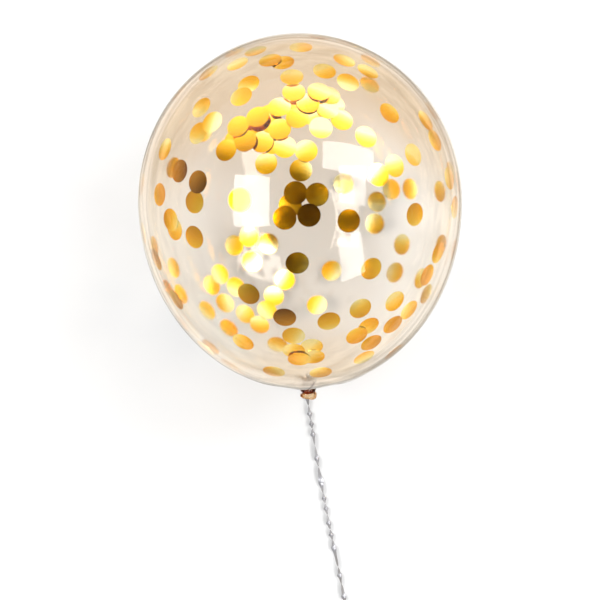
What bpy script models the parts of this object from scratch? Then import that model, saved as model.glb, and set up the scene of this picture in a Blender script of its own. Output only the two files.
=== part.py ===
# Confetti balloon: one round latex balloon, blown up, sealed by a knot in its own neck and lying
# on its side, with a thin silver ribbon tied round the neck. Lengths are in metres and +Z is up.
# The origin is on the small flat spot that the balloon rests on, under its lowest point, and the
# neck points towards -Y and down.

import math

import bpy
from mathutils import Matrix, Vector

# The blown-up balloon, an egg of revolution about its own axis
BALLOON_WIDTH = 0.290
CROWN_LENGTH = 0.151
BELLY_LENGTH = 0.1725
AXIS_RISE = math.radians(20)
FLAT_DEPTH = 0.0032

# The neck that the ribbon is wound round, and how the belly runs into it
SHOULDER_RADIUS = 0.018
SHOULDER_LENGTH = 0.005
NECK_RADIUS = 0.004
NECK_LENGTH = 0.0052

# The knot tied in the latex: a ring round the neck that leans, and a strand that crosses it
KNOT_RING_RADIUS = 0.0047
KNOT_STRAND_RADIUS = 0.0027
KNOT_TILT = math.radians(12)
NECK_OVERLAP = 0.0009
CROSSING_LENGTH = 0.0125
CROSSING_THICKNESS = 0.0052
CROSSING_TILT = math.radians(-32)
CROSSING_SIDE = math.radians(70)

# The mouth beyond the knot, a short flared cup with a rolled rim, pressed a little flat
MOUTH_RADIUS = 0.0078
MOUTH_REACH = 0.009
MOUTH_DEPTH = 0.0045
MOUTH_FLATNESS = 0.72
MOUTH_LEAN = math.radians(9)
MOUTH_ROOT_RADIUS = 0.003
MOUTH_FLARE_POWER = 1.5
ROLLED_RIM_RADIUS = 0.0011
ROLLED_RIM_TURN = math.radians(225)

# The ribbon, a flat strip that twists, so that its solid is a tube as thick as it is wide
RIBBON_WIDTH = 0.005
RIBBON_POINT_GAP = 0.0125
TIE_THICKNESS = 0.0013
TIE_ROUNDING = 0.0004
TIE_KNOT_SIZE = (0.0068, 0.0050, 0.0040)
TIE_KNOT_SIDE_STEP = 0.001
TIE_KNOT_SINK = 0.0009
END_KNOT_SIZE = (0.0095, 0.0110, 0.0070)
END_TAIL_LENGTH = 0.012
END_TAIL_THICKNESS = 0.0012
CLEARANCE = 0.0004

# The ribbon's route: it hangs from the neck, and then lies along the floor, a little towards +X
RIBBON_ROUTE = [
    (-0.0010, -0.1463, 0.0743),
    (-0.0010, -0.1465, 0.0600),
    (-0.0011, -0.1471, 0.0440),
    (-0.0012, -0.1484, 0.0285),
    (-0.0014, -0.1524, 0.0150),
    (-0.0016, -0.1612, 0.0064),
    (-0.0010, -0.1752, 0.0031),
    (0.0014, -0.1960, 0.0028),
    (0.0042, -0.2200, 0.0028),
    (0.0072, -0.2450, 0.0028),
    (0.0112, -0.2740, 0.0028),
    (0.0156, -0.3030, 0.0028),
    (0.0208, -0.3340, 0.0028),
    (0.0260, -0.3680, 0.0028),
    (0.0303, -0.4000, 0.0028),
]

# How finely round shapes are cut
ROUND_STEPS = 56
SMALL_ROUND_STEPS = 28
ARC_STEPS = 17
FILLET_STEPS = 5
RIM_STEPS = 10
DISH_STEPS = 3
KNOT_RING_STEPS = 24
STRAND_STEPS = 12
LUMP_SEGMENTS = 16
LUMP_RINGS = 10
ROUTE_STEPS = 20
TUBE_BEVEL_RESOLUTION = 3

# Lengths that follow from the driving sizes
HALF_WIDTH = BALLOON_WIDTH / 2
SHOULDER_TURN = math.acos(SHOULDER_RADIUS / HALF_WIDTH)
SHOULDER_DROP = BELLY_LENGTH * math.sin(SHOULDER_TURN)
NECK_DROP = SHOULDER_DROP + SHOULDER_LENGTH
KNOT_HALF_LENGTH = KNOT_STRAND_RADIUS + KNOT_RING_RADIUS * math.sin(KNOT_TILT)
KNOT_DROP = NECK_DROP + NECK_LENGTH + KNOT_HALF_LENGTH
NECK_END_DROP = KNOT_DROP + NECK_OVERLAP
TIE_DROP = NECK_DROP + NECK_LENGTH / 2
TIE_LENGTH = NECK_LENGTH - 2 * CLEARANCE

# Where the centre of the widest circle is when the balloon lies on its side
LOWEST_HEIGHT = math.hypot(BELLY_LENGTH * math.sin(AXIS_RISE), HALF_WIDTH * math.cos(AXIS_RISE))
LOWEST_REACH = (
    (BELLY_LENGTH ** 2 - HALF_WIDTH ** 2)
    * math.sin(AXIS_RISE) * math.cos(AXIS_RISE) / LOWEST_HEIGHT
)
BALLOON_PLACE = (
    Matrix.Translation((0, LOWEST_REACH, LOWEST_HEIGHT - FLAT_DEPTH))
    @ Matrix.Rotation(AXIS_RISE - math.pi / 2, 4, "X")
)
KNOT_PLACE = BALLOON_PLACE @ Matrix.Translation((0, 0, -KNOT_DROP))


def clear_scene():
    for old in list(bpy.data.objects):
        bpy.data.objects.remove(old)


def new_collection(name):
    group = bpy.data.collections.new(name)
    bpy.context.scene.collection.children.link(group)
    return group


def new_material(name, colour, roughness, metallic=0.0, transmission=0.0):
    finish = bpy.data.materials.new(name)
    finish.use_nodes = True
    shader = finish.node_tree.nodes["Principled BSDF"]
    shader.inputs["Base Color"].default_value = (*colour, 1)
    shader.inputs["Roughness"].default_value = roughness
    shader.inputs["Metallic"].default_value = metallic
    shader.inputs["Transmission Weight"].default_value = transmission
    return finish


def add_object(name, data, group, place=None):
    item = bpy.data.objects.new(name, data)
    group.objects.link(item)
    if place is not None:
        item.matrix_world = place
    return item


def turned(name, profile, closed, steps, group, place):
    """Turn a profile of (radius, height) pairs, listed down its outer side, about local Z."""
    corners = [(radius, 0, height) for radius, height in profile]
    edges = [(i, i + 1) for i in range(len(corners) - 1)]
    if closed:
        edges.append((len(corners) - 1, 0))
    mesh = bpy.data.meshes.new(name)
    mesh.from_pydata(corners, edges, [])
    item = add_object(name, mesh, group, place)
    screw = item.modifiers.new("turn", "SCREW")
    screw.axis = "Z"
    screw.angle = 2 * math.pi
    screw.steps = steps
    screw.render_steps = steps
    screw.use_merge_vertices = True
    screw.merge_threshold = 0.00001
    return item


def add_boolean(item, operation, other):
    cut = item.modifiers.new(other.name, "BOOLEAN")
    cut.operation = operation
    cut.solver = "EXACT"
    cut.object = other


def hide_guide(item):
    item.hide_render = True
    item.display_type = "WIRE"


def balloon_profile():
    """The balloon's outline from the crown down to where the neck ends inside its knot."""
    profile = []
    for i in range(ARC_STEPS + 1):
        turn = math.pi / 2 * i / ARC_STEPS
        profile.append((HALF_WIDTH * math.sin(turn), CROWN_LENGTH * math.cos(turn)))
    for i in range(1, ARC_STEPS + 1):
        turn = SHOULDER_TURN * i / ARC_STEPS
        profile.append((HALF_WIDTH * math.cos(turn), -BELLY_LENGTH * math.sin(turn)))
    for i in range(1, FILLET_STEPS + 1):
        turn = math.pi / 2 * i / FILLET_STEPS
        profile.append((
            SHOULDER_RADIUS - (SHOULDER_RADIUS - NECK_RADIUS) * math.sin(turn),
            -SHOULDER_DROP - SHOULDER_LENGTH * (1 - math.cos(turn)),
        ))
    profile.append((NECK_RADIUS, -NECK_END_DROP))
    profile.append((0, -NECK_END_DROP))
    return profile


def mouth_profile():
    """The flared mouth's outline from inside the knot, round its rolled rim and into its dish."""
    rim_middle = MOUTH_RADIUS - ROLLED_RIM_RADIUS
    profile = [(0, 0)]
    for i in range(FILLET_STEPS + 1):
        share = i / FILLET_STEPS
        profile.append((
            MOUTH_ROOT_RADIUS + (rim_middle - MOUTH_ROOT_RADIUS) * share ** MOUTH_FLARE_POWER,
            -(MOUTH_REACH - ROLLED_RIM_RADIUS) * share,
        ))
    for i in range(1, RIM_STEPS):
        turn = math.pi / 2 - ROLLED_RIM_TURN * i / RIM_STEPS
        profile.append((
            rim_middle + ROLLED_RIM_RADIUS * math.cos(turn),
            -MOUTH_REACH + ROLLED_RIM_RADIUS * math.sin(turn),
        ))
    for i in range(1, DISH_STEPS + 1):
        share = i / DISH_STEPS
        profile.append((
            rim_middle * (1 - share),
            -MOUTH_REACH + MOUTH_DEPTH * math.sin(math.pi / 2 * share),
        ))
    return profile


def adopt(name, group, place):
    """Name the primitive that was just added, and put it in its group and place."""
    item = bpy.context.object
    item.name = name
    for holder in list(item.users_collection):
        holder.objects.unlink(item)
    group.objects.link(item)
    item.matrix_world = place
    return item


def ellipsoid(name, size, group, place):
    """A round lump with the three given diameters."""
    bpy.ops.mesh.primitive_uv_sphere_add(radius=0.5, segments=LUMP_SEGMENTS, ring_count=LUMP_RINGS)
    return adopt(name, group, place @ Matrix.Diagonal((*size, 1)))


def knot_ring(group):
    """The turn of latex that goes once round the neck."""
    bpy.ops.mesh.primitive_torus_add(
        major_radius=KNOT_RING_RADIUS, minor_radius=KNOT_STRAND_RADIUS,
        major_segments=KNOT_RING_STEPS, minor_segments=STRAND_STEPS,
    )
    lean = Matrix.Rotation(KNOT_TILT, 4, "X")
    return adopt("knot_ring", group, KNOT_PLACE @ lean)


def knot_crossing(group):
    """The strand that crosses the ring on one side and runs on into the mouth."""
    place = (
        KNOT_PLACE
        @ Matrix.Rotation(CROSSING_SIDE, 4, "Z")
        @ Matrix.Translation((KNOT_RING_RADIUS, 0, 0))
        @ Matrix.Rotation(CROSSING_TILT, 4, "X")
    )
    size = (CROSSING_THICKNESS, CROSSING_LENGTH, CROSSING_THICKNESS)
    return ellipsoid("knot_crossing", size, group, place)


def floor_block(group):
    """A block under the floor plane, which presses the balloon's flat spot."""
    bpy.ops.mesh.primitive_cube_add(size=BALLOON_WIDTH)
    return adopt("floor_block", group, Matrix.Translation((0, 0, -BALLOON_WIDTH / 2)))


def make_balloon(group, guides):
    balloon = turned("balloon", balloon_profile(), False, ROUND_STEPS, group, BALLOON_PLACE)
    lean = Matrix.Rotation(MOUTH_LEAN, 4, "X")
    pressed = Matrix.Diagonal((1, MOUTH_FLATNESS, 1, 1))
    mouth_place = KNOT_PLACE @ lean @ pressed
    mouth = turned("mouth", mouth_profile(), False, SMALL_ROUND_STEPS, guides, mouth_place)
    ring = knot_ring(guides)
    crossing = knot_crossing(guides)
    block = floor_block(guides)
    for piece in (mouth, ring, crossing):
        add_boolean(balloon, "UNION", piece)
        hide_guide(piece)
    add_boolean(balloon, "DIFFERENCE", block)
    hide_guide(block)
    balloon.data.materials.append(new_material("clear_latex", (0.93, 0.88, 0.80), 0.08, 0, 0.9))
    return balloon


def make_ribbon_tie(finish, group, guides):
    """The ribbon's turns round the neck, with the half hitch that holds them underneath."""
    inner = NECK_RADIUS + CLEARANCE
    outer = inner + TIE_THICKNESS
    half = TIE_LENGTH / 2
    profile = [
        (inner, half),
        (outer - TIE_ROUNDING, half),
        (outer, half - TIE_ROUNDING),
        (outer, -half + TIE_ROUNDING),
        (outer - TIE_ROUNDING, -half),
        (inner, -half),
    ]
    place = BALLOON_PLACE @ Matrix.Translation((0, 0, -TIE_DROP))
    tie = turned("ribbon_tie", profile, True, SMALL_ROUND_STEPS, group, place)
    hitch_reach = outer + TIE_KNOT_SIZE[1] / 2 - TIE_KNOT_SINK
    hitch_place = place @ Matrix.Translation((-TIE_KNOT_SIDE_STEP, hitch_reach, 0))
    hitch = ellipsoid("half_hitch", TIE_KNOT_SIZE, guides, hitch_place)
    add_boolean(tie, "UNION", hitch)
    hide_guide(hitch)
    tie.data.materials.append(finish)
    return tie


def smooth_route(route, gap):
    """Points about a gap apart on the smooth curve through the route's own points."""
    knots = [Vector(point) for point in route]
    knots = [2 * knots[0] - knots[1]] + knots + [2 * knots[-1] - knots[-2]]
    fine = []
    for i in range(1, len(knots) - 2):
        before, start, end, after = knots[i - 1:i + 3]
        for step in range(ROUTE_STEPS):
            t = step / ROUTE_STEPS
            fine.append(0.5 * (
                2 * start
                + (end - before) * t
                + (2 * before - 5 * start + 4 * end - after) * t ** 2
                + (3 * start - before - 3 * end + after) * t ** 3
            ))
    fine.append(knots[-2])
    lengths = [0]
    for a, b in zip(fine, fine[1:]):
        lengths.append(lengths[-1] + (b - a).length)
    count = round(lengths[-1] / gap)
    points = []
    at = 0
    for i in range(count + 1):
        wanted = lengths[-1] * i / count
        while at < len(fine) - 2 and lengths[at + 1] < wanted:
            at += 1
        share = (wanted - lengths[at]) / (lengths[at + 1] - lengths[at])
        points.append(fine[at].lerp(fine[at + 1], share))
    return points


def make_ribbon(finish, group):
    """The free ribbon, as the tube that its twisting strip fills."""
    points = smooth_route(RIBBON_ROUTE, RIBBON_POINT_GAP)
    curve = bpy.data.curves.new("ribbon", "CURVE")
    curve.dimensions = "3D"
    curve.bevel_depth = RIBBON_WIDTH / 2
    curve.bevel_resolution = TUBE_BEVEL_RESOLUTION
    curve.use_fill_caps = True
    line = curve.splines.new("POLY")
    line.points.add(len(points) - 1)
    for spot, point in zip(line.points, points):
        spot.co = (*point, 1)
    ribbon = add_object("ribbon", curve, group)
    curve.materials.append(finish)
    return ribbon


def make_end_knot(finish, group, guides):
    """The knot at the ribbon's far end, with the short flat tail beyond it."""
    last = Vector(RIBBON_ROUTE[-1])
    heading = (last - Vector(RIBBON_ROUTE[-2])).normalized()
    turn = math.atan2(heading.y, heading.x) - math.pi / 2
    height = END_KNOT_SIZE[2] / 2 + CLEARANCE
    middle = last + heading * (END_KNOT_SIZE[1] / 2 + CLEARANCE)
    place = Matrix.Translation((middle.x, middle.y, height)) @ Matrix.Rotation(turn, 4, "Z")
    knot = ellipsoid("ribbon_end_knot", END_KNOT_SIZE, group, place)
    tail_middle = (END_KNOT_SIZE[1] + END_TAIL_LENGTH) / 2 - END_TAIL_THICKNESS
    tail_size = Matrix.Diagonal((RIBBON_WIDTH, END_TAIL_LENGTH, END_TAIL_THICKNESS, 1))
    bpy.ops.mesh.primitive_cube_add(size=1)
    tail_place = place @ Matrix.Translation((0, tail_middle, 0)) @ tail_size
    tail = adopt("ribbon_tail", guides, tail_place)
    add_boolean(knot, "UNION", tail)
    hide_guide(tail)
    knot.data.materials.append(finish)
    return knot


clear_scene()
parts = new_collection("confetti_balloon")
cutters = new_collection("cutters")
silver = new_material("silver_ribbon", (0.78, 0.78, 0.80), 0.25, 1.0)
make_balloon(parts, cutters)
make_ribbon_tie(silver, parts, cutters)
make_ribbon(silver, parts)
make_end_knot(silver, parts, cutters)
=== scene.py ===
import math
import random

import bmesh
import bpy
from mathutils import Matrix, Vector
from mathutils.bvhtree import BVHTree


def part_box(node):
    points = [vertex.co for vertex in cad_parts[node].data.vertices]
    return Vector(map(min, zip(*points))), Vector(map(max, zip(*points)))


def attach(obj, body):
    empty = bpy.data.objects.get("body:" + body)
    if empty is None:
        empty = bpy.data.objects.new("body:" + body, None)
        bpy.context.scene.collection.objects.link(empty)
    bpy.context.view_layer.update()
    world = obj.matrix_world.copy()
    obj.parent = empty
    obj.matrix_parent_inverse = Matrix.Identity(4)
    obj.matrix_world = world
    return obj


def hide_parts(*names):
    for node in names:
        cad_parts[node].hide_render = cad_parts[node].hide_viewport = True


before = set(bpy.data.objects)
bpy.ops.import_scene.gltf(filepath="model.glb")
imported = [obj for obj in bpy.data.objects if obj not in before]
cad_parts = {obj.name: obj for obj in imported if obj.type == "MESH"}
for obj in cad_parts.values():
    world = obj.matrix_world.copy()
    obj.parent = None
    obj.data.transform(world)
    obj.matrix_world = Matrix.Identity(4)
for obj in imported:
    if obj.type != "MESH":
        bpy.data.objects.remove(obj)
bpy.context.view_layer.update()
bpy.ops.object.select_all(action="DESELECT")

# The camera looks straight down on the balloon, which lies on its side with the crown at the top of the
# picture. All sizes are metres; the balloon is an egg of revolution about an axis that rises 20 degrees.
HALF_WIDTH = (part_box("balloon")[1].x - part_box("balloon")[0].x) / 2
CROWN_LENGTH = 0.151
BELLY_LENGTH = 0.1725
AXIS_RISE = math.radians(20)
FLAT_DEPTH = 0.0032
lowest_height = math.hypot(BELLY_LENGTH * math.sin(AXIS_RISE), HALF_WIDTH * math.cos(AXIS_RISE))
lowest_reach = (
    (BELLY_LENGTH ** 2 - HALF_WIDTH ** 2)
    * math.sin(AXIS_RISE) * math.cos(AXIS_RISE) / lowest_height
)
belly_centre = Vector((0, lowest_reach, lowest_height - FLAT_DEPTH))
balloon_place = Matrix.Translation(belly_centre) @ Matrix.Rotation(AXIS_RISE - math.pi / 2, 4, "X")
crown_way = Vector(balloon_place.to_3x3().col[2])

VIEW_DISTANCE = 2.0
VIEW_NEAREST = 0.05
VIEW_FARTHEST = 60
VIEW_LENS = 133.6
VIEW_PAST_OVERHEAD = math.radians(0.5)
CROWN_LEAN = math.radians(2.5)
VIEW_AIM_BELOW = math.radians(2.52)
camera = bpy.data.objects.new("camera", bpy.data.cameras.new("camera"))
bpy.context.scene.collection.objects.link(camera)
bpy.context.scene.camera = camera
camera.data.lens = VIEW_LENS
camera.data.clip_start = VIEW_NEAREST
camera.data.clip_end = VIEW_FARTHEST
picture_turn = Matrix.Rotation(-CROWN_LEAN, 4, "Z") @ Matrix.Rotation(-VIEW_PAST_OVERHEAD, 4, "X")
camera.matrix_world = (
    Matrix.Translation(belly_centre)
    @ picture_turn
    @ Matrix.Translation((0, 0, VIEW_DISTANCE))
    @ Matrix.Rotation(-VIEW_AIM_BELOW, 4, "X")
)
picture_right, picture_up, picture_towards = picture_turn.to_3x3().col

# The floor is a plain pale sweep that glows a little, and far off it is as pale as the backdrop. What the
# skin and the foil mirror of it is a painted reflection: glossy rays see the floor as glowing patchy warm
# shades, with bright and dark rings painted close round the balloon.
FLOOR_SIZE = 16
FLOOR_DROP = 0.0003
FLOOR_GREY = 0.42
FLOOR_ROUGHNESS = 0.9
FLOOR_SPECULAR = 0.1
FLOOR_GLOW = 0.30
BACKDROP = 0.88
SWEEP_REACH = (0.7, 2.6)
PAINTED_REFLECTION_SCALE = 7
PAINTED_REFLECTION_SHADES = ((0.40, (0.58, 0.46, 0.28)), (0.60, (1.45, 1.28, 0.95)))
PAINTED_RINGS_REACH = (0.30, 0.42)
PAINTED_RING_SCALE = 3
PAINTED_RING_RATE = 10
PAINTED_RING_SHADES = ((0.42, (0.50, 0.46, 0.40)), (0.58, (1.34, 1.29, 1.20)))


def feed(tree, source, socket):
    """Give a socket another node's output, or a plain value."""
    if isinstance(source, bpy.types.NodeSocket):
        tree.links.new(source, socket)
    else:
        socket.default_value = source


def noise_at(tree, place, scale):
    """A noise texture of that scale at the place."""
    noise = tree.nodes.new("ShaderNodeTexNoise")
    noise.inputs["Scale"].default_value = scale
    tree.links.new(place, noise.inputs["Vector"])
    return noise


def worked_out(tree, operation, *sources):
    """What a Math node makes of the sources, each an output or a plain number."""
    step = tree.nodes.new("ShaderNodeMath")
    step.operation = operation
    for source, socket in zip(sources, step.inputs):
        feed(tree, source, socket)
    return step.outputs["Value"]


def measured(tree, operation, vector, other=(0, 0, 0)):
    """A vector's length, or how far it reaches along another."""
    step = tree.nodes.new("ShaderNodeVectorMath")
    step.operation = operation
    step.inputs[1].default_value = other
    tree.links.new(vector, step.inputs[0])
    return step.outputs["Value"]


def eased_node(tree, source, start, end, start_value=0, end_value=1):
    """A smooth change from one value to another as the source goes from start to end."""
    ease = tree.nodes.new("ShaderNodeMapRange")
    ease.interpolation_type = "SMOOTHSTEP"
    ease.inputs["From Min"].default_value = start
    ease.inputs["From Max"].default_value = end
    feed(tree, source, ease.inputs["Value"])
    feed(tree, start_value, ease.inputs["To Min"])
    feed(tree, end_value, ease.inputs["To Max"])
    return ease.outputs["Result"]


def colour_stops(tree, source, stops):
    """A colour ramp along the source, with a position and a colour at each stop."""
    ramp = tree.nodes.new("ShaderNodeValToRGB")
    for number, (position, shade) in enumerate(stops):
        if number > 1:
            ramp.color_ramp.elements.new(position)
        ramp.color_ramp.elements[number].position = position
        ramp.color_ramp.elements[number].color = (*shade, 1)
    tree.links.new(source, ramp.inputs["Fac"])
    return ramp.outputs["Color"]


def mixed(tree, share, first, second, way="MIX"):
    """Two colours mixed by a share, each an output or a plain value."""
    mix = tree.nodes.new("ShaderNodeMix")
    mix.data_type = "RGBA"
    mix.blend_type = way
    feed(tree, share, mix.inputs["Factor"])
    feed(tree, first, mix.inputs["A"])
    feed(tree, second, mix.inputs["B"])
    return mix.outputs["Result"]


def either(tree, share, first, second):
    """The first shader where the share is 0, and the second where it is 1."""
    mix = tree.nodes.new("ShaderNodeMixShader")
    for source, socket in zip((share, first, second), mix.inputs):
        tree.links.new(source, socket)
    return mix.outputs["Shader"]


bpy.ops.mesh.primitive_plane_add(size=FLOOR_SIZE, location=(0, 0, -FLOOR_DROP))
floor = bpy.context.object
floor.name = "floor"
floor_paint = bpy.data.materials.new("pale_floor")
floor_paint.use_nodes = True
floor_paint.cycles.emission_sampling = "NONE"
floor_tree = floor_paint.node_tree
floor_shader = floor_tree.nodes["Principled BSDF"]
floor_shader.inputs["Base Color"].default_value = (FLOOR_GREY, FLOOR_GREY, FLOOR_GREY, 1)
floor_shader.inputs["Roughness"].default_value = FLOOR_ROUGHNESS
floor_shader.inputs["Specular IOR Level"].default_value = FLOOR_SPECULAR
floor_shader.inputs["Emission Color"].default_value = (1, 1, 1, 1)
floor_shader.inputs["Emission Strength"].default_value = FLOOR_GLOW
floor_place = floor_tree.nodes.new("ShaderNodeTexCoord").outputs["Object"]
floor_reach = measured(floor_tree, "LENGTH", floor_place)
painted_ring_noise = noise_at(floor_tree, floor_place, PAINTED_RING_SCALE)
painted_ring_noise.noise_dimensions = "4D"
feed(floor_tree, worked_out(floor_tree, "MULTIPLY", floor_reach, PAINTED_RING_RATE), painted_ring_noise.inputs["W"])
painted_reflection_noise = noise_at(floor_tree, floor_place, PAINTED_REFLECTION_SCALE)
painted_reflection = floor_tree.nodes.new("ShaderNodeEmission")
feed(
    floor_tree,
    mixed(
        floor_tree,
        eased_node(floor_tree, floor_reach, *PAINTED_RINGS_REACH),
        colour_stops(floor_tree, painted_ring_noise.outputs["Fac"], PAINTED_RING_SHADES),
        colour_stops(floor_tree, painted_reflection_noise.outputs["Fac"], PAINTED_REFLECTION_SHADES),
    ),
    painted_reflection.inputs["Color"],
)
far_sweep = floor_tree.nodes.new("ShaderNodeEmission")
far_sweep.inputs["Strength"].default_value = BACKDROP
floor_ray = floor_tree.nodes.new("ShaderNodeLightPath")
near_or_far = either(
    floor_tree, eased_node(floor_tree, floor_reach, *SWEEP_REACH),
    floor_shader.outputs["BSDF"], far_sweep.outputs["Emission"],
)
# Painted reflection: glossy rays see these glowing shades in place of the floor.
floor_or_painted_reflection = either(
    floor_tree, worked_out(floor_tree, "GREATER_THAN", floor_ray.outputs["Glossy Depth"], 0.5),
    near_or_far, painted_reflection.outputs["Emission"],
)
feed(floor_tree, floor_or_painted_reflection, floor_tree.nodes["Material Output"].inputs["Surface"])
floor.data.materials.append(floor_paint)

# The light is a room that is dim overhead and pale near the horizon, with one bright wall past the crown,
# and four soft boxes, each set by the share of the half width at which the balloon mirrors it.
ROOM_DIM = 0.06
ROOM_PALE = 0.75
DIM_ABOVE = 0.62
PALE_BELOW = 0.08
BRIGHT_WALL = 1.7
BRIGHT_WALL_WAY = (0.20, 0.95, 0)
BRIGHT_WALL_SIDES = (0.20, 0.60)
BRIGHT_WALL_TOP = (0.83, 0.985)
BRIGHT_WALL_FOOT = (-0.02, 0.32)
FOOT_SHARE = 0.25
SOFTBOX_DISTANCE = 3.0
SOFTBOXES = {
    "wide_softbox": {"across": 0.290, "up": 0.215, "width": 1.9, "height": 1.05, "radiance": 9},
    "right_upper_softbox": {"across": 0.313, "up": 0.07, "width": 1.0, "height": 1.2, "radiance": 9},
    "right_lower_softbox": {"across": 0.305, "up": -0.31, "width": 0.85, "height": 1.3, "radiance": 9},
    "left_softbox": {"across": -0.29, "up": -0.02, "width": 1.38, "height": 1.6, "radiance": 12},
}
BOUNCE_CLAMP = 8
world = bpy.data.worlds.new("dim_room")
bpy.context.scene.world = world
world.use_nodes = True
world_tree = world.node_tree
world_way = world_tree.nodes.new("ShaderNodeTexCoord").outputs["Generated"]
world_axes = world_tree.nodes.new("ShaderNodeSeparateXYZ")
world_tree.links.new(world_way, world_axes.inputs["Vector"])
world_height = world_axes.outputs["Z"]
room = eased_node(world_tree, world_height, PALE_BELOW, DIM_ABOVE, ROOM_PALE, ROOM_DIM)
wall_reach = measured(world_tree, "DOT_PRODUCT", world_way, BRIGHT_WALL_WAY)
wall_sides = eased_node(world_tree, wall_reach, *BRIGHT_WALL_SIDES, 0, BRIGHT_WALL)
wall_top = eased_node(world_tree, world_height, *BRIGHT_WALL_TOP, 1, 0)
wall_foot = eased_node(world_tree, world_height, *BRIGHT_WALL_FOOT, FOOT_SHARE, 1)
wall_height = worked_out(world_tree, "MULTIPLY", wall_top, wall_foot)
wall_and_room = worked_out(world_tree, "MULTIPLY_ADD", wall_sides, wall_height, room)
world_ray = world_tree.nodes.new("ShaderNodeLightPath")
seen_or_lit = eased_node(world_tree, world_ray.outputs["Is Camera Ray"], 0, 1, wall_and_room, BACKDROP)
background = world_tree.nodes["Background"]
background.inputs["Color"].default_value = (1, 1, 1, 1)
feed(world_tree, seen_or_lit, background.inputs["Strength"])


def softbox(name, across, up, width, height, radiance):
    """A flat light that faces the balloon and is mirrored in it at that place."""
    normal = (
        picture_right * across + picture_up * up
        + picture_towards * math.sqrt(1 - across ** 2 - up ** 2)
    )
    towards = 2 * normal.dot(picture_towards) * normal - picture_towards
    side = picture_right - towards * picture_right.dot(towards)
    side.normalize()
    facing = Matrix((side, towards.cross(side), towards)).transposed()
    lamp = bpy.data.lights.new(name, "AREA")
    lamp.shape = "RECTANGLE"
    lamp.size = width
    lamp.size_y = height
    lamp.energy = radiance * math.pi * width * height
    box = bpy.data.objects.new(name, lamp)
    box.matrix_world = Matrix.Translation(belly_centre + towards * SOFTBOX_DISTANCE) @ facing.to_4x4()
    box.visible_camera = False
    bpy.context.scene.collection.objects.link(box)


for name, values in SOFTBOXES.items():
    softbox(name, **values)
scene = bpy.context.scene
scene.view_settings.view_transform = "Standard"
scene.cycles.caustics_reflective = False
scene.cycles.caustics_refractive = False
scene.cycles.sample_clamp_indirect = BOUNCE_CLAMP

# The skin is one bag of clear latex, dipped as a sock and blown up until its wall is a quarter of a
# millimetre thick. It stays thicker at the crown and round the neck, and is pressed flat on the floor.
SKIN_SEGMENTS = 128
SKIN_RINGS = 88
SHOULDER_RADIUS = 0.018
SHOULDER_LENGTH = 0.005
SHOULDER_STEPS = 9
NECK_RADIUS = 0.004
NECK_LENGTH = 0.0052
KNOT_RING_RADIUS = 0.0047
KNOT_STRAND_RADIUS = 0.0027
KNOT_TILT = math.radians(12)
SKIN_WALL = 0.00025
NECK_WALL = 0.0009
NECK_WALL_EASE = 0.030
CROWN_WALL = 0.0004
CROWN_WALL_EASE = 0.004
PRESS_EASE = 0.0016
PLEAT_REACH = 0.030
PLEAT_DEPTH = 0.055
PLEAT_COUNT = 11
PLEAT_WANDER = 1.3
FINE_PLEAT_SHARE = 0.6
FINE_PLEAT_COUNT = 7
FINE_PLEAT_START = 1
LATEX_IOR = 1.32
LATEX_SHADOW = (0.992, 0.984, 0.976)
HAZE_SCALE = 9
HAZE_DETAIL = 3
HAZE_EDGES = (0.35, 0.65)
GRAIN_EDGES = (0.3, 0.7)
CROWN_PAINTED_SHADE = (0.78, 0.66, 0.53)
PAINTED_SHADE_ALONG = (-0.05, 0.06)
PAINTED_SHADE_HEIGHTS = (0.01, -0.04)
OUTLINE_STOPS = ((0.77, 1), (0.82, 0.86), (0.87, 1))
OUTLINE_WARMTH = (1, 1.3, 1.7)
shoulder_drop = BELLY_LENGTH * math.sin(math.acos(SHOULDER_RADIUS / HALF_WIDTH))
neck_drop = shoulder_drop + SHOULDER_LENGTH
knot_drop = neck_drop + NECK_LENGTH + KNOT_STRAND_RADIUS + KNOT_RING_RADIUS * math.sin(KNOT_TILT)


def eased(value, start, end):
    """0 before start, 1 after end, and a smooth rise between."""
    share = min(max((value - start) / (end - start), 0), 1)
    return share * share * (3 - 2 * share)


def pressed(height):
    """A height after the floor presses the skin flat, and how much of its slope is left there."""
    if height < -PRESS_EASE:
        return 0, 0
    if height < PRESS_EASE:
        return (height + PRESS_EASE) ** 2 / (4 * PRESS_EASE), (height + PRESS_EASE) / (2 * PRESS_EASE)
    return height, 1


def drawn_out(radius, drop, rings):
    """Extrude the selected ring of edges down through rings, each a new radius and a new drop."""
    for new_radius, new_drop in rings:
        bpy.ops.mesh.extrude_region_move(TRANSFORM_OT_translate={"value": (0, 0, drop - new_drop)})
        bpy.ops.transform.resize(
            value=(new_radius / radius, new_radius / radius, 1), center_override=(0, 0, -new_drop)
        )
        radius, drop = new_radius, new_drop


def finished(piece, kind, **settings):
    """Add a modifier with those settings to the active piece, and apply it."""
    modifier = piece.modifiers.new(kind.lower(), kind)
    for setting, value in settings.items():
        setattr(modifier, setting, value)
    bpy.ops.object.modifier_apply(modifier=modifier.name)


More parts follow.
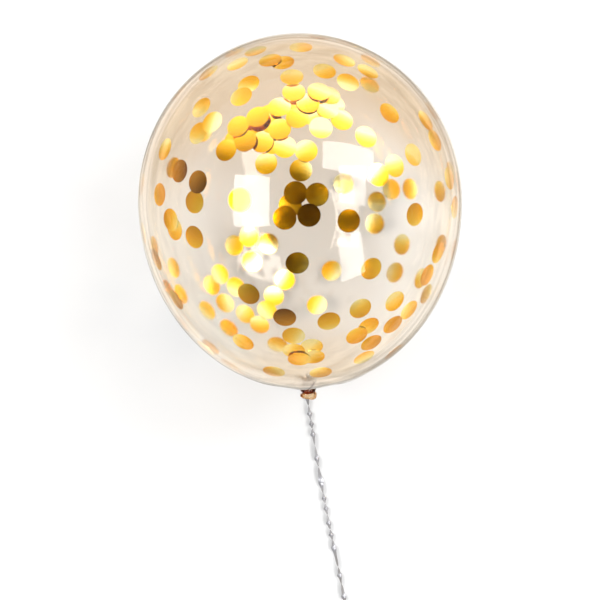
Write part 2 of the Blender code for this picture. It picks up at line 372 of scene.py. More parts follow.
bpy.ops.mesh.primitive_uv_sphere_add(segments=SKIN_SEGMENTS, ring_count=SKIN_RINGS, radius=HALF_WIDTH)
skin = bpy.context.object
skin.name = "balloon_skin"
bpy.ops.object.mode_set(mode="EDIT")
for length, side in ((CROWN_LENGTH, 1), (BELLY_LENGTH, -1)):
    bpy.ops.mesh.select_all(action="DESELECT")
    skin_mesh = bmesh.from_edit_mesh(skin.data)
    for spot in skin_mesh.verts:
        spot.select = spot.co.z * side > HALF_WIDTH / SKIN_RINGS
    skin_mesh.select_flush_mode()
    bmesh.update_edit_mesh(skin.data)
    bpy.ops.transform.resize(value=(1, 1, length / HALF_WIDTH), center_override=(0, 0, 0))
bpy.ops.mesh.select_all(action="SELECT")
bpy.ops.mesh.bisect(plane_co=(0, 0, -shoulder_drop), plane_no=(0, 0, 1), clear_inner=True)
neck_rings = []
for step in range(1, SHOULDER_STEPS + 1):
    turn = math.pi / 2 * step / SHOULDER_STEPS
    neck_rings.append((
        SHOULDER_RADIUS - (SHOULDER_RADIUS - NECK_RADIUS) * math.sin(turn),
        shoulder_drop + SHOULDER_LENGTH * (1 - math.cos(turn)),
    ))
drawn_out(SHOULDER_RADIUS, shoulder_drop, [*neck_rings, (NECK_RADIUS, knot_drop)])
bpy.ops.object.mode_set(mode="OBJECT")

wall_share = skin.vertex_groups.new(name="wall_share")
for spot in skin.data.vertices:
    x, y, z = spot.co
    wall = SKIN_WALL + (NECK_WALL - SKIN_WALL) * eased(-z, neck_drop - NECK_WALL_EASE, neck_drop)
    wall += (CROWN_WALL - SKIN_WALL) * eased(z, CROWN_LENGTH - CROWN_WALL_EASE, CROWN_LENGTH)
    wall_share.add([spot.index], wall / NECK_WALL, "REPLACE")
    turn = math.atan2(y, x)
    gather = eased(-z, neck_drop - PLEAT_REACH, neck_drop) * (1 - eased(-z, neck_drop, knot_drop))
    fold = math.sin(PLEAT_COUNT * turn + PLEAT_WANDER * math.sin(2 * turn))
    fold += FINE_PLEAT_SHARE * math.sin(FINE_PLEAT_COUNT * turn + FINE_PLEAT_START)
    spot.co.x *= 1 + PLEAT_DEPTH * gather * fold
    spot.co.y *= 1 + PLEAT_DEPTH * gather * fold
skin.data.transform(balloon_place)
for spot in skin.data.vertices:
    spot.co.z = pressed(spot.co.z)[0]
skin_tree = BVHTree.FromObject(skin, bpy.context.evaluated_depsgraph_get())
finished(
    skin, "SOLIDIFY", thickness=NECK_WALL, offset=-1, vertex_group="wall_share", use_even_offset=True,
)
bpy.ops.object.shade_smooth()

surface_grain = bpy.data.node_groups.new("surface_grain", "ShaderNodeTree")
surface_grain.interface.new_socket("vector", in_out="INPUT", socket_type="NodeSocketVector")
for name in ("haze_scale", "haze_detail", "smoothest", "roughest", "grain_scale", "grain_height"):
    surface_grain.interface.new_socket(name, in_out="INPUT", socket_type="NodeSocketFloat")
for name in ("haze", "roughness"):
    surface_grain.interface.new_socket(name, in_out="OUTPUT", socket_type="NodeSocketFloat")
surface_grain.interface.new_socket("normal", in_out="OUTPUT", socket_type="NodeSocketVector")
grain_in = surface_grain.nodes.new("NodeGroupInput")
grain_out = surface_grain.nodes.new("NodeGroupOutput")
haze_noise = surface_grain.nodes.new("ShaderNodeTexNoise")
haze_gloss = surface_grain.nodes.new("ShaderNodeMapRange")
haze_gloss.inputs["From Min"].default_value = GRAIN_EDGES[0]
haze_gloss.inputs["From Max"].default_value = GRAIN_EDGES[1]
grain_noise = surface_grain.nodes.new("ShaderNodeTexNoise")
grain_bump = surface_grain.nodes.new("ShaderNodeBump")
for source, socket in (
    (grain_in.outputs["vector"], haze_noise.inputs["Vector"]),
    (grain_in.outputs["haze_scale"], haze_noise.inputs["Scale"]),
    (grain_in.outputs["haze_detail"], haze_noise.inputs["Detail"]),
    (grain_in.outputs["smoothest"], haze_gloss.inputs["To Min"]),
    (grain_in.outputs["roughest"], haze_gloss.inputs["To Max"]),
    (grain_in.outputs["vector"], grain_noise.inputs["Vector"]),
    (grain_in.outputs["grain_scale"], grain_noise.inputs["Scale"]),
    (grain_in.outputs["grain_height"], grain_bump.inputs["Distance"]),
    (haze_noise.outputs["Fac"], haze_gloss.inputs["Value"]),
    (grain_noise.outputs["Fac"], grain_bump.inputs["Height"]),
    (haze_noise.outputs["Fac"], grain_out.inputs["haze"]),
    (haze_gloss.outputs["Result"], grain_out.inputs["roughness"]),
    (grain_bump.outputs["Normal"], grain_out.inputs["normal"]),
):
    surface_grain.links.new(source, socket)


def grained(tree, vector, **values):
    """Give the tree's shader the surface grain, with the finish's own values, and say where it is hazy."""
    grain = tree.nodes.new("ShaderNodeGroup")
    grain.node_tree = surface_grain
    tree.links.new(vector, grain.inputs["vector"])
    for name, value in values.items():
        grain.inputs[name].default_value = value
    shader = tree.nodes["Principled BSDF"]
    tree.links.new(grain.outputs["roughness"], shader.inputs["Roughness"])
    tree.links.new(grain.outputs["normal"], shader.inputs["Normal"])
    return grain.outputs["haze"]


def latex(name, tint, let_through, density, **grain):
    """Clear latex: smooth glass that swallows blue and a little green, and casts almost no shadow."""
    material = bpy.data.materials.new(name)
    material.use_nodes = True
    tree = material.node_tree
    shader = tree.nodes["Principled BSDF"]
    shader.inputs["Metallic"].default_value = 0
    shader.inputs["IOR"].default_value = LATEX_IOR
    shader.inputs["Transmission Weight"].default_value = 1
    place = tree.nodes.new("ShaderNodeTexCoord").outputs["Object"]
    haze = grained(tree, place, haze_scale=HAZE_SCALE, haze_detail=HAZE_DETAIL, **grain)
    tinted = colour_stops(tree, haze, zip(HAZE_EDGES, (tint, (1, 1, 1))))
    # Painted shade: the wall's underside towards the crown is tinted darker and warmer.
    belly_along = belly_centre.dot(crown_way)
    along = measured(tree, "DOT_PRODUCT", place, crown_way)
    near_crown = eased_node(tree, along, belly_along + PAINTED_SHADE_ALONG[0], belly_along + PAINTED_SHADE_ALONG[1])
    axes = tree.nodes.new("ShaderNodeSeparateXYZ")
    tree.links.new(place, axes.inputs["Vector"])
    under = eased_node(
        tree, axes.outputs["Z"], belly_centre.z + PAINTED_SHADE_HEIGHTS[0], belly_centre.z + PAINTED_SHADE_HEIGHTS[1]
    )
    painted_shade_share = worked_out(tree, "MULTIPLY", near_crown, under)
    with_painted_shade = mixed(tree, painted_shade_share, tinted, (*CROWN_PAINTED_SHADE, 1), "MULTIPLY")
    edge = tree.nodes.new("ShaderNodeLayerWeight")
    edge.inputs["Blend"].default_value = 0.5
    outline = colour_stops(tree, edge.outputs["Facing"], [
        (position, [share ** warmth for warmth in OUTLINE_WARMTH]) for position, share in OUTLINE_STOPS
    ])
    feed(tree, mixed(tree, 1, with_painted_shade, outline, "MULTIPLY"), shader.inputs["Base Color"])
    ray = tree.nodes.new("ShaderNodeLightPath")
    clear = tree.nodes.new("ShaderNodeBsdfTransparent")
    clear.inputs["Color"].default_value = (*LATEX_SHADOW, 1)
    absorb = tree.nodes.new("ShaderNodeVolumeAbsorption")
    absorb.inputs["Color"].default_value = (*let_through, 1)
    absorb.inputs["Density"].default_value = density
    glass_or_clear = either(
        tree, ray.outputs["Is Shadow Ray"], shader.outputs["BSDF"], clear.outputs["BSDF"]
    )
    feed(tree, glass_or_clear, tree.nodes["Material Output"].inputs["Surface"])
    feed(tree, absorb.outputs["Volume"], tree.nodes["Material Output"].inputs["Volume"])
    return material


skin.data.materials.append(latex(
    "clear_stretched_latex", tint=(0.992, 0.974, 0.955), let_through=(0.80, 0.50, 0.06), density=300,
    smoothest=0.044, roughest=0.066, grain_scale=14, grain_height=0.0005,
))
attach(skin, "root")
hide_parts("balloon")

# The knot is the neck tied in itself: a fat turn of slack latex, the strand that crosses it, and the
# flared mouth with its rolled rim. Latex that isn't stretched is thick, so it looks orange-brown.
CROSSING_LENGTH = 0.0125
CROSSING_THICKNESS = 0.0052
CROSSING_TILT = math.radians(-32)
CROSSING_SIDE = math.radians(70)
NECK_SEAT = 0.0002
MOUTH_RADIUS = 0.0078
MOUTH_REACH = 0.009
MOUTH_FLARE = 1.5
MOUTH_FLATNESS = 0.72
MOUTH_LEAN = math.radians(9)
MOUTH_ROOT_RADIUS = 0.0026
MOUTH_WALL = 0.0010
MOUTH_STEPS = 8
RIM_BEAD_RADIUS = 0.0011
RIM_WAVES = ((0.0011, 2, 0.5), (0.0006, 3, 0))
NOTCH_TURN = 1.9
NOTCH_SPREAD = 0.42
NOTCH_DEPTH = 0.34
KNOT_VOXEL = 0.00028
KNOT_RELAXING = 6
CREASE_DEPTH = 0.00010
CREASES = ((13, 900), (5, -400))
knot_place = balloon_place @ Matrix.Translation((0, 0, -knot_drop))
bpy.ops.mesh.primitive_torus_add(
    major_radius=KNOT_RING_RADIUS, minor_radius=KNOT_STRAND_RADIUS, major_segments=48, minor_segments=20,
)
ring = bpy.context.object
ring.data.transform(Matrix.Rotation(KNOT_TILT, 4, "X"))
bpy.ops.mesh.primitive_uv_sphere_add(segments=32, ring_count=20, radius=0.5)
crossing = bpy.context.object
crossing.data.transform(
    Matrix.Rotation(CROSSING_SIDE, 4, "Z")
    @ Matrix.Translation((KNOT_RING_RADIUS, 0, 0))
    @ Matrix.Rotation(CROSSING_TILT, 4, "X")
    @ Matrix.Diagonal((CROSSING_THICKNESS, CROSSING_LENGTH, CROSSING_THICKNESS, 1))
)
bpy.ops.mesh.primitive_cone_add(
    vertices=32, radius1=MOUTH_ROOT_RADIUS, radius2=NECK_RADIUS + NECK_SEAT, depth=NECK_LENGTH,
    location=(0, 0, KNOT_STRAND_RADIUS),
)
root = bpy.context.object
bpy.ops.object.transform_apply(location=True)

bpy.ops.mesh.primitive_circle_add(vertices=64, radius=MOUTH_ROOT_RADIUS)
mouth = bpy.context.object
bead_ring_radius = MOUTH_RADIUS - RIM_BEAD_RADIUS
bead_drop = MOUTH_REACH - RIM_BEAD_RADIUS
mouth_rings = []
for step in range(1, MOUTH_STEPS + 1):
    share = step / MOUTH_STEPS
    mouth_rings.append((
        MOUTH_ROOT_RADIUS + (bead_ring_radius - MOUTH_ROOT_RADIUS) * share ** MOUTH_FLARE,
        bead_drop * share,
    ))
bpy.ops.object.mode_set(mode="EDIT")
drawn_out(MOUTH_ROOT_RADIUS, 0, mouth_rings)
bpy.ops.object.mode_set(mode="OBJECT")
finished(mouth, "SOLIDIFY", thickness=MOUTH_WALL, offset=0)
bpy.ops.mesh.primitive_torus_add(
    major_radius=bead_ring_radius, minor_radius=RIM_BEAD_RADIUS,
    major_segments=64, minor_segments=14, location=(0, 0, -bead_drop),
)
bead = bpy.context.object
bpy.ops.object.transform_apply(location=True)
for piece in (mouth, bead):
    for spot in piece.data.vertices:
        turn = math.atan2(spot.co.y, spot.co.x)
        out = math.hypot(spot.co.x, spot.co.y) / MOUTH_RADIUS
        notch = NOTCH_DEPTH * math.exp(-((turn - NOTCH_TURN) / NOTCH_SPREAD) ** 2)
        spot.co.x *= 1 - notch * out
        spot.co.y *= 1 - notch * out
        spot.co.z += out * sum(rise * math.sin(times * turn + start) for rise, times, start in RIM_WAVES)
    piece.data.transform(
        Matrix.Rotation(MOUTH_LEAN, 4, "X") @ Matrix.Diagonal((1, MOUTH_FLATNESS, 1, 1))
    )


def joined(name, pieces):
    """Join the pieces into the first of them, under a name."""
    bpy.ops.object.select_all(action="DESELECT")
    for piece in pieces:
        piece.select_set(True)
    bpy.context.view_layer.objects.active = pieces[0]
    bpy.ops.object.join()
    pieces[0].name = name
    return pieces[0]


knot = joined("tied_knot_and_mouth", [ring, crossing, root, mouth, bead])
finished(knot, "REMESH", mode="VOXEL", voxel_size=KNOT_VOXEL)
finished(knot, "SMOOTH", factor=0.5, iterations=KNOT_RELAXING)
for spot in knot.data.vertices:
    turn = math.atan2(spot.co.y, spot.co.x)
    crease = math.prod(math.sin(times * turn + rate * spot.co.z) for times, rate in CREASES)
    spot.co += spot.normal * CREASE_DEPTH * crease
knot.data.transform(knot_place)
bpy.ops.object.shade_smooth()
knot.data.materials.append(latex(
    "slack_latex", tint=(1, 0.90, 0.76), let_through=(0.79, 0.52, 0.08), density=1100,
    smoothest=0.128, roughest=0.192, grain_scale=420, grain_height=0.0004,
))
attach(knot, "root")
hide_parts("balloon")

# The confetti is loose discs of thin gold foil, 20 mm across, punched flat. They cling to the inside of
# the wall, singly and in pairs, with one overlapping heap. The lists give the photograph's pixels, and
# in the centre cluster each disc's painted light and shade too, as a value from 0 for dark to 1 for pale
# gold.
DISC_RADIUS = 0.010
DISC_THICKNESS = 0.00012
DISC_SIDES = 26
DISC_RING_SHARE = 0.34
DISC_GAP = 0.00012
DISC_LEAN = 0.0009
HEAP_LEAN = 0.0014
CLUSTER_LEAN = 0.0018
LEAN_SHARES = (0.2, 1)
LAYER_STEP = 0.0004
HEAP_LAYER_STEP = 0.0007
SHARP_ANGLE = math.radians(40)
# Each disc's gold runs from dark brown to pale gold. It is partly the foil's own varied gold and partly
# painted light and shade, which the discs carry as a value from 0 to 1.
GOLD_STOPS = (
    (0, (0.24, 0.09, 0.001)), (0.3, (0.55, 0.24, 0.002)), (0.6, (0.86, 0.42, 0.004)),
    (0.8, (0.96, 0.57, 0.03)), (0.92, (1, 0.74, 0.17)), (1, (1, 0.89, 0.44)),
)
LEAN_SHADE_AND_TONE_SPREAD = 0.22
HEAP_PAINTED_LIGHT_TONES = (0.54, 0.95)
HEAP_PAINTED_LIGHT_SIDES = (222, 283)
HEAP_PAINTED_LIGHT_FOOT = (572, 612)
MIXED_TONES = (0.58, 0.92)
PAINTED_SHADE_TONES = (0.10, 0.42)
PALE_TONES = (0.74, 1.0)
FAR_TONES = (0.84, 0.94)
PHOTO_PIXEL = 0.001633
PHOTO_CENTRE = (264.5, 381.1)
HEAP = [
    (260, 312), (261, 320), (275, 320), (269, 326), (280, 329), (253, 328), (241, 334), (263, 334),
    (288, 335), (276, 340), (230, 339), (253, 340), (248, 336), (234, 347), (243, 347), (301, 345),
    (308, 366), (256, 350), (268, 352), (245, 359), (223, 352), (317, 361), (327, 355), (281, 321),
    (247, 331), (237, 341), (227, 345), (270, 332), (249, 347.5), (283.5, 326), (265, 326),
]
CENTRE_CLUSTER = [
    (265, 363, 0.8), (274, 377, 0.64), (262, 376, 0.3), (269.5, 388.5, 0.2), (256, 390, 0.34),
    (259, 383, 0.7), (231, 380, 0.5), (263, 415, 0.74), (236, 432, 0.66),
]
PAINTED_SHADE_DISCS = [(256, 445), (291.5, 391.5), (208, 370), (198, 364)]
SINGLES = [(298, 440), (304, 418), (280.5, 447), (328, 388)]
LOWER_RIGHT = [
    (296, 455), (302.6, 450), (304, 459), (300, 467), (316, 449), (325, 441), (335, 421.5), (317, 436),
]
RIGHT_RIM = [(347, 368), (350, 384), (341, 409), (339, 347), (334, 336)]
UPPER = [
    (278, 309), (291, 315), (289, 303), (314, 332), (265, 296), (240, 298), (230, 305), (214, 310),
    (232, 323), (236, 316), (210, 329), (216, 337), (208, 343), (248, 303), (302, 309), (255, 304),
]
LEFT = [
    (206, 381), (193, 391), (195, 396), (206, 400.5), (185, 413), (196, 435), (187, 377), (190, 352),
]
BOTTOM_CLUSTER = [
    (264, 468), (272, 467), (271, 461.5), (261, 464), (261, 455), (233, 458.5), (250, 475), (276, 475.5),
]
FAR_WALL = [
    (228, 405), (236, 400), (247, 404), (238, 414), (215.5, 427), (220, 421), (234, 443),
    (223, 437), (250, 433), (274, 438), (282, 419), (252, 460), (321, 404.5), (317, 420), (288.5, 371),
    (307, 381), (315, 374), (242, 449), (229, 428), (246, 441), (213, 441), (256, 424), (306, 393),
]
TO_CROWN = (math.pi - 0.6, math.pi + 0.6)
ALL_WAYS = (0, math.tau)
CONFETTI_SEED = 11
SCATTER_COUNT = 38
SCATTER_TRIES = 900
SCATTER_HEIGHTS = (-0.7, 0.25)
SCATTER_GAP = 2.3 * DISC_RADIUS
NECK_LEFT_CLEAR = -0.15
THIN_BELOW = -0.15
THIN_ABOVE_MIDDLE = 0.05
THINNED_SHARE = 0.85
draw = random.Random(CONFETTI_SEED)
into_balloon = balloon_place.inverted()


def wall_at(point):
    """The skin's outer point and normal on the way from the belly's centre to the point."""
    local = into_balloon @ point
    length = CROWN_LENGTH if local.z > 0 else BELLY_LENGTH
    spread = Vector((HALF_WIDTH, HALF_WIDTH, length))
    local /= Vector(a / b for a, b in zip(local, spread)).length
    normal = balloon_place.to_3x3() @ Vector(a / b ** 2 for a, b in zip(local, spread))
    spot = balloon_place @ local
    spot.z, slope = pressed(spot.z)
    normal = Vector((normal.x * slope, normal.y * slope, normal.z))
    return spot, normal.normalized()


def seen_wall(place, far):
    """The wall's point where the camera sees that place of the photograph, on the near or the far side."""
    across = (place[0] - PHOTO_CENTRE[0]) * PHOTO_PIXEL
    up = (PHOTO_CENTRE[1] - place[1]) * PHOTO_PIXEL
    sight = (belly_centre + picture_right * across + picture_up * up - camera.location).normalized()
    start = camera.location
    if far:
        start = camera.location + sight * 2 * VIEW_DISTANCE
        sight = -sight
    return skin_tree.ray_cast(start, sight)[0]


def lay_disc(point, layer_step, lean, lean_ways, tone_and_painted_light_range):
    """Drape one disc on the inner wall, under those already there, leaning inwards on one side."""
    centre, outward = wall_at(point)
    touched = [layer for spot, layer in laid if (spot - centre).length < 2 * DISC_RADIUS]
    layer = max(touched, default=-1) + 1
    laid.append((centre, layer))
    inset = SKIN_WALL + DISC_GAP + DISC_THICKNESS + layer_step * layer
    side = picture_right.cross(outward).normalized()
    other = outward.cross(side)
    lean_way = draw.uniform(*lean_ways)
    lean_height = draw.uniform(*LEAN_SHARES) * lean
    copy = bpy.data.objects.new("disc", disc.data.copy())
    tone_and_painted_light = copy.data.attributes.new("tone_and_painted_light", "FLOAT", "POINT")
    disc_tone_and_painted_light = draw.uniform(*tone_and_painted_light_range)
    for spot, shade in zip(copy.data.vertices, tone_and_painted_light.data):
        x, y, _ = spot.co
        edge, edge_outward = wall_at(centre + side * x + other * y)
        lean_share = (x * math.cos(lean_way) + y * math.sin(lean_way)) / DISC_RADIUS
        spot.co = edge - edge_outward * (inset + lean_height * (1 + lean_share) / 2)
        # Painted shade across the disc: paler on the side that leans inwards, darker on the other.
        shade.value = disc_tone_and_painted_light + LEAN_SHADE_AND_TONE_SPREAD * lean_share
    bpy.context.scene.collection.objects.link(copy)
    copies.append(copy)


def join_discs(name):
    """Join the discs laid since the last join into one piece, and give the foil its thickness."""
    piece = joined(name, copies)
    finished(piece, "SOLIDIFY", thickness=DISC_THICKNESS, offset=0)
    bpy.ops.object.shade_smooth_by_angle(angle=SHARP_ANGLE)
    piece.data.materials.append(gold_foil)
    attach(piece, "root")
    copies.clear()


gold_foil = bpy.data.materials.new("gold_foil")
gold_foil.use_nodes = True
foil_tree = gold_foil.node_tree
foil_shader = foil_tree.nodes["Principled BSDF"]
foil_shader.inputs["Metallic"].default_value = 1
foil_tone_and_painted_light = foil_tree.nodes.new("ShaderNodeAttribute")
foil_tone_and_painted_light.attribute_name = "tone_and_painted_light"
foil_colour = colour_stops(foil_tree, foil_tone_and_painted_light.outputs["Fac"], GOLD_STOPS)
feed(foil_tree, foil_colour, foil_shader.inputs["Base Color"])
grained(
    foil_tree, foil_tree.nodes.new("ShaderNodeTexCoord").outputs["Object"],
    haze_scale=110, haze_detail=2, smoothest=0.15, roughest=0.22, grain_scale=110, grain_height=0.00006,
)

bpy.ops.mesh.primitive_circle_add(vertices=DISC_SIDES, radius=DISC_RADIUS, fill_type="NGON")
disc = bpy.context.object
bpy.ops.object.mode_set(mode="EDIT")
bpy.ops.mesh.inset(thickness=DISC_RADIUS * DISC_RING_SHARE)
bpy.ops.mesh.inset(thickness=DISC_RADIUS * DISC_RING_SHARE)
bpy.ops.object.mode_set(mode="OBJECT")

laid = []
copies = []
for place in HEAP:
    # Painted light: the heap is paler towards its right side and its foot.
    painted_light_share = max(eased(place[0], *HEAP_PAINTED_LIGHT_SIDES), eased(sum(place), *HEAP_PAINTED_LIGHT_FOOT))
    shade = HEAP_PAINTED_LIGHT_TONES[0] + (HEAP_PAINTED_LIGHT_TONES[1] - HEAP_PAINTED_LIGHT_TONES[0]) * painted_light_share
    tone_and_painted_light_range = (shade - LEAN_SHADE_AND_TONE_SPREAD / 2, shade + LEAN_SHADE_AND_TONE_SPREAD / 2)
    lay_disc(seen_wall(place, far=False), HEAP_LAYER_STEP, HEAP_LEAN, TO_CROWN, tone_and_painted_light_range)
join_discs("confetti_heap")
for across, down, shade in CENTRE_CLUSTER:
    place = seen_wall((across, down), far=False)
    # Painted light and shade: each disc of the cluster has its own given value.
    lay_disc(place, HEAP_LAYER_STEP, CLUSTER_LEAN, ALL_WAYS, (shade, shade))
# The shaded discs get dark values, which is painted shade.
for places, tone_and_painted_light_range in (
    (PAINTED_SHADE_DISCS, PAINTED_SHADE_TONES), (SINGLES, MIXED_TONES), (LOWER_RIGHT, MIXED_TONES), (RIGHT_RIM, MIXED_TONES),
    (UPPER, PALE_TONES), (LEFT, MIXED_TONES), (BOTTOM_CLUSTER, PALE_TONES),
):
    for place in places:
        lay_disc(seen_wall(place, far=False), LAYER_STEP, DISC_LEAN, ALL_WAYS, tone_and_painted_light_range)
join_discs("confetti_near_wall")
for place in FAR_WALL:
    lay_disc(seen_wall(place, far=True), LAYER_STEP, DISC_LEAN, ALL_WAYS, FAR_TONES)
for _ in range(SCATTER_TRIES):
    if len(copies) - len(FAR_WALL) == SCATTER_COUNT:
        break
    way = Vector((draw.gauss(0, 1), draw.gauss(0, 1), draw.gauss(0, 1))).normalized()
    spot, outward = wall_at(belly_centre + way)
    height = outward.dot(picture_towards)
    above_middle = (spot - belly_centre).dot(picture_up)
    thinned = height < THIN_BELOW and above_middle > THIN_ABOVE_MIDDLE and draw.random() < THINNED_SHARE
    in_reach = SCATTER_HEIGHTS[0] <= height < SCATTER_HEIGHTS[1]
    near_neck = (into_balloon @ spot).z < NECK_LEFT_CLEAR
    alone = min((spot - other).length for other, _ in laid) > SCATTER_GAP
    if in_reach and alone and not near_neck and not thinned:
        lay_disc(spot, LAYER_STEP, DISC_LEAN, ALL_WAYS, MIXED_TONES)
join_discs("confetti_far_wall")
bpy.data.objects.remove(disc)

# The ribbon is a flat strip of silver film, 5 mm wide. It hangs from its tie on the neck, and then lies
# along the floor, turning over every centimetre or two, to a knot just outside the picture.
RIBBON_WIDTH = 0.005
RIBBON_THICKNESS = 0.00014
RIBBON_STATION_GAP = 0.0008
RIBBON_BOW = 0.00022
BOWED_PROFILE = ((-0.5, 0), (-0.25, 0.75), (0, 1), (0.25, 0.75), (0.5, 0))
TWIST_LENGTH = 0.016
TWIST_WANDERS = ((0.42, 63), (0.16, 171))
TWIST_LINGERS = ((0.30, 1), (0.20, 2))
GATHER_LENGTH = 0.012
START_WIDTH = 0.0018
END_WIDTH = 0.0026
ROUTE_STEPS = 20
SILVER = (0.36, 0.36, 0.38)
SILVER_METALLIC = 0.65
RIBBON_ROUTE = [
    (-0.0010, -0.1463, 0.0743),
    (-0.0010, -0.1465, 0.0600),
    (-0.0011, -0.1471, 0.0440),
    (-0.0012, -0.1484, 0.0285),
    (-0.0014, -0.1524, 0.0150),
    (-0.0016, -0.1612, 0.0064),
    (-0.0010, -0.1752, 0.0031),
    (0.0014, -0.1960, 0.0028),
    (0.0042, -0.2200, 0.0028),
    (0.0072, -0.2450, 0.0028),
    (0.0112, -0.2740, 0.0028),
    (0.0156, -0.3030, 0.0028),
    (0.0208, -0.3340, 0.0028),
    (0.0260, -0.3680, 0.0028),
    (0.0303, -0.4000, 0.0028),
]


def smooth_route(route, gap):
    """Points about a gap apart on the smooth curve through the route's own points."""
    knots = [Vector(point) for point in route]
    knots = [2 * knots[0] - knots[1]] + knots + [2 * knots[-1] - knots[-2]]
    fine = []
    for i in range(1, len(knots) - 2):
        before, start, end, after = knots[i - 1:i + 3]
        for step in range(ROUTE_STEPS):
            t = step / ROUTE_STEPS
            fine.append(0.5 * (
                2 * start
                + (end - before) * t
                + (2 * before - 5 * start + 4 * end - after) * t ** 2
                + (3 * start - before - 3 * end + after) * t ** 3
            ))
    fine.append(knots[-2])
    lengths = [0]
    for a, b in zip(fine, fine[1:]):
        lengths.append(lengths[-1] + (b - a).length)
    count = round(lengths[-1] / gap)
    points = []
    at = 0
    for i in range(count + 1):
        wanted = lengths[-1] * i / count
        while at < len(fine) - 2 and lengths[at + 1] < wanted:
            at += 1
        share = (wanted - lengths[at]) / (lengths[at + 1] - lengths[at])
        points.append(fine[at].lerp(fine[at + 1], share))
    return points, lengths[-1]


def strip(name, points, first_side, width_at, twist_at, bow):
    """A thin closed strip of silver film along the points, turned about them by twist_at."""
    side = Vector(first_side)
    corners = []
    faces = []
    distances = []
    for i, point in enumerate(points):
        ahead = points[min(i + 1, len(points) - 1)] - points[max(i - 1, 0)]
        ahead.normalize()
        side = (side - ahead * side.dot(ahead)).normalized()
        along = distances[-1] + (point - points[i - 1]).length if i else 0
        distances.append(along)
        across = Matrix.Rotation(twist_at(along), 3, ahead) @ side
        up = ahead.cross(across)
        for face in (0.5, -0.5):
            for share, rise in BOWED_PROFILE:
                lift = bow * rise + RIBBON_THICKNESS * face
                corners.append(point + across * share * width_at(along) + up * lift)
    half = len(BOWED_PROFILE)
    row = 2 * half
    for a in range(0, (len(points) - 1) * row, row):
        b = a + row
        for k in range(half - 1):
            low = half + k
            faces.append((a + k, b + k, b + k + 1, a + k + 1))
            faces.append((a + low, a + low + 1, b + low + 1, b + low))
        faces.append((a, a + half, b + half, b))
        faces.append((a + half - 1, b + half - 1, b + row - 1, a + row - 1))
    for start in (0, (len(points) - 1) * row):
        for k in range(start, start + half - 1):
            end = (k, k + 1, half + k + 1, half + k)
            faces.append(end if start == 0 else end[::-1])
    mesh = bpy.data.meshes.new(name)
    mesh.from_pydata(corners, [], faces)
    lie = mesh.attributes.new("along", "FLOAT", "POINT")
    reach = mesh.attributes.new("across", "FLOAT", "POINT")
    for i in range(len(corners)):
        lie.data[i].value = distances[i // row]
        reach.data[i].value = BOWED_PROFILE[i % half][0]
    film = bpy.data.objects.new(name, mesh)
    bpy.context.scene.collection.objects.link(film)
    bpy.ops.object.select_all(action="DESELECT")
    film.select_set(True)
    bpy.context.view_layer.objects.active = film
    bpy.ops.object.mode_set(mode="EDIT")
    bpy.ops.mesh.select_all(action="SELECT")
    bpy.ops.mesh.normals_make_consistent(inside=False)
    bpy.ops.object.mode_set(mode="OBJECT")
    bpy.ops.object.shade_smooth_by_angle(angle=SHARP_ANGLE)
    mesh.materials.append(silver_film)
    return film


silver_film = bpy.data.materials.new("silver_film")
silver_film.use_nodes = True
film_tree = silver_film.node_tree
film_shader = film_tree.nodes["Principled BSDF"]
film_shader.inputs["Base Color"].default_value = (*SILVER, 1)
film_shader.inputs["Metallic"].default_value = SILVER_METALLIC
film_place = film_tree.nodes.new("ShaderNodeCombineXYZ")
for name, axis in (("across", "X"), ("along", "Y")):
    film_way = film_tree.nodes.new("ShaderNodeAttribute")
    film_way.attribute_name = name
    film_tree.links.new(film_way.outputs["Fac"], film_place.inputs[axis])
grained(
    film_tree, film_place.outputs["Vector"],
    haze_scale=24, haze_detail=2, smoothest=0.34, roughest=0.46, grain_scale=24, grain_height=0.00006,
)

ribbon_points, ribbon_length = smooth_route(RIBBON_ROUTE, RIBBON_STATION_GAP)


def ribbon_width(along):
    """The full width, but for the gathers at the tie and at the end knot."""
    opened = START_WIDTH + (RIBBON_WIDTH - START_WIDTH) * eased(along, 0, GATHER_LENGTH)
    gathered = eased(along, ribbon_length - GATHER_LENGTH, ribbon_length)
    return opened - (RIBBON_WIDTH - END_WIDTH) * gathered


def ribbon_twist(along):
    """An uneven twist, slow where the strip leans a third of a turn and quick where it lies flat."""
    wander = sum(swing * math.sin(along * rate) for swing, rate in TWIST_WANDERS)
    half_turns = along / TWIST_LENGTH + wander
    lingers = sum(linger * math.sin(times * math.tau * half_turns) for linger, times in TWIST_LINGERS)
    return math.pi * half_turns + lingers


ribbon = strip("silver_ribbon", ribbon_points, (1, 0, 0), ribbon_width, ribbon_twist, RIBBON_BOW)
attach(ribbon, "root")
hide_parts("ribbon")

# The tie is the same film, gathered and wound round the neck between the shoulder and the knot. It ends
# in a hitch on the underside, where the ribbon starts, with a short cut tail beside it.
TIE_TURNS = 2.75
TIE_RADIUS = 0.0046
TIE_PACK = 0.0006
TIE_WANDER = 0.0011
TIE_WANDER_RATE = 0.7
TIE_WIDTH = 0.0029
TIE_BOW = 0.00012
TIE_TILT = 0.12
TIE_TILT_RATE = 400
TIE_STEPS = 160
UNDERSIDE = math.pi / 2
HITCH_FROM_RIBBON = Vector((0, -0.0003, 0.003))
HITCH_LEAD = Vector((0, -0.0002, 0.0012))
HITCH_RADIUS = 0.0014
HITCH_TURNS = 1.4
HITCH_WIDTH = 0.0021
HITCH_STEPS = 40
TIE_TAIL = [
    (-0.0004, -0.1462, 0.0782), (0.0008, -0.1450, 0.0762), (0.0026, -0.1441, 0.0738),
    (0.0046, -0.1437, 0.0712), (0.0062, -0.1438, 0.0688),
]
TAIL_OPENING = 0.007
TAIL_TWIST_RATE = 90
TAIL_STATION_GAP = 0.0005
hitch_centre = Vector(RIBBON_ROUTE[0]) + HITCH_FROM_RIBBON


def untwisted(along):
    """No twist, for a stretch that lies flat."""
    return 0


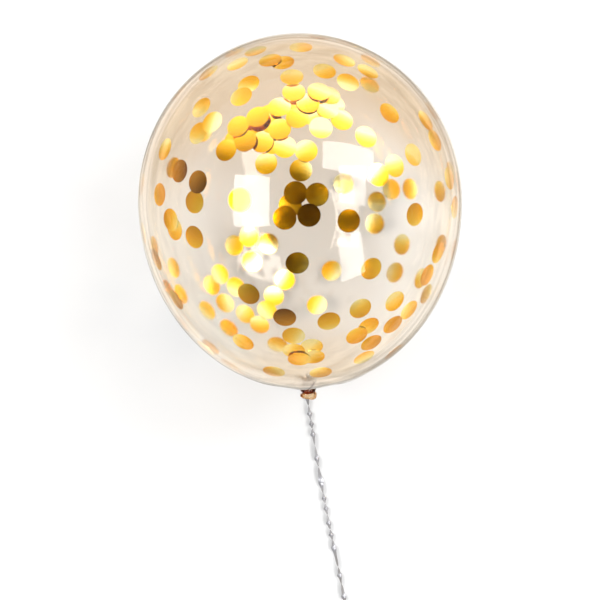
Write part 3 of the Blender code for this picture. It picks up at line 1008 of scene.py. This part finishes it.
def join_strips(name, strips):
    """Join the strips into one piece of film that rides with the ribbon."""
    piece = joined(name, strips)
    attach(piece, "root")
    return piece


tie_points = []
for i in range(TIE_STEPS + 1):
    share = i / TIE_STEPS
    turn = UNDERSIDE - math.tau * TIE_TURNS * (1 - share)
    reach = TIE_RADIUS + TIE_PACK * share
    drop = neck_drop + NECK_LENGTH / 2 + TIE_WANDER * math.sin(TIE_WANDER_RATE * turn)
    tie_points.append(balloon_place @ Vector((reach * math.cos(turn), reach * math.sin(turn), -drop)))
wound = strip(
    "wound", tie_points, crown_way,
    lambda along: TIE_WIDTH, lambda along: TIE_TILT * math.sin(along * TIE_TILT_RATE), TIE_BOW,
)
lead_points, _ = smooth_route(
    [tie_points[-1], hitch_centre + HITCH_LEAD, hitch_centre, RIBBON_ROUTE[0]], TAIL_STATION_GAP
)
lead = strip("lead", lead_points, (1, 0, 0), lambda along: START_WIDTH, untwisted, TIE_BOW)
hitch_points = []
for i in range(HITCH_STEPS + 1):
    turn = math.tau * HITCH_TURNS * i / HITCH_STEPS
    reach = HITCH_RADIUS + TIE_PACK / 2 * i / HITCH_STEPS
    hitch_points.append(hitch_centre + Vector((reach * math.cos(turn), reach * math.sin(turn), 0)))
hitch = strip("hitch", hitch_points, (0, 0, 1), lambda along: HITCH_WIDTH, untwisted, TIE_BOW)
tail_points, _ = smooth_route(TIE_TAIL, TAIL_STATION_GAP)
tail = strip(
    "tail", tail_points, (0, 1, 0),
    lambda along: START_WIDTH + (RIBBON_WIDTH - START_WIDTH) * eased(along, 0, TAIL_OPENING),
    lambda along: TAIL_TWIST_RATE * along, RIBBON_BOW,
)
tie = join_strips("tie_and_hitch", [wound, lead, hitch, tail])
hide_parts("ribbon_tie")

# The far end of the ribbon is finished in an overhand knot, pulled small, with a flat cut tail on the
# floor. Knot and tail are the same film as the ribbon.
OVERHAND_SIZE = 0.00115
OVERHAND_LIFT = 0.00095
OVERHAND_STEPS = 36
OVERHAND_BOW = 0.0006
OVERHAND_CENTRE = Vector((0.0308, -0.4058, 0.0033))
END_TAIL_LENGTH = 0.0135
END_TAIL_STEPS = 24
END_TAIL_HEIGHT = 0.0006
END_TAIL_DROP = 0.55
end_way = (Vector(RIBBON_ROUTE[-1]) - Vector(RIBBON_ROUTE[-2])).normalized()
end_side = Vector((-end_way.y, end_way.x, 0))
overhand_route = [Vector(RIBBON_ROUTE[-1])]
for i in range(OVERHAND_STEPS + 1):
    turn = math.pi + math.tau * i / OVERHAND_STEPS
    ahead = (math.sin(turn) + 2 * math.sin(2 * turn)) * OVERHAND_SIZE
    aside = (math.cos(turn) - 2 * math.cos(2 * turn)) * OVERHAND_SIZE
    rise = OVERHAND_LIFT * (i / OVERHAND_STEPS - 0.5 - math.sin(3 * turn))
    overhand_route.append(OVERHAND_CENTRE + end_way * ahead + end_side * aside + Vector((0, 0, rise)))
tail_start = overhand_route[-1] + end_way * OVERHAND_SIZE
overhand_points, _ = smooth_route(overhand_route + [tail_start], TAIL_STATION_GAP)
overhand = strip(
    "overhand", overhand_points, end_side, lambda along: END_WIDTH, untwisted, OVERHAND_BOW
)
end_tail_points = []
for i in range(END_TAIL_STEPS + 1):
    share = i / END_TAIL_STEPS
    point = tail_start + end_way * END_TAIL_LENGTH * share
    point.z += (END_TAIL_HEIGHT - tail_start.z) * eased(share, 0, END_TAIL_DROP)
    end_tail_points.append(point)
end_tail = strip(
    "end_tail", end_tail_points, end_side,
    lambda along: END_WIDTH + (RIBBON_WIDTH - END_WIDTH) * eased(along, 0, END_TAIL_LENGTH / 2),
    untwisted, RIBBON_BOW,
)
end_knot = join_strips("end_knot_and_tail", [overhand, end_tail])
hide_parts("ribbon_end_knot")
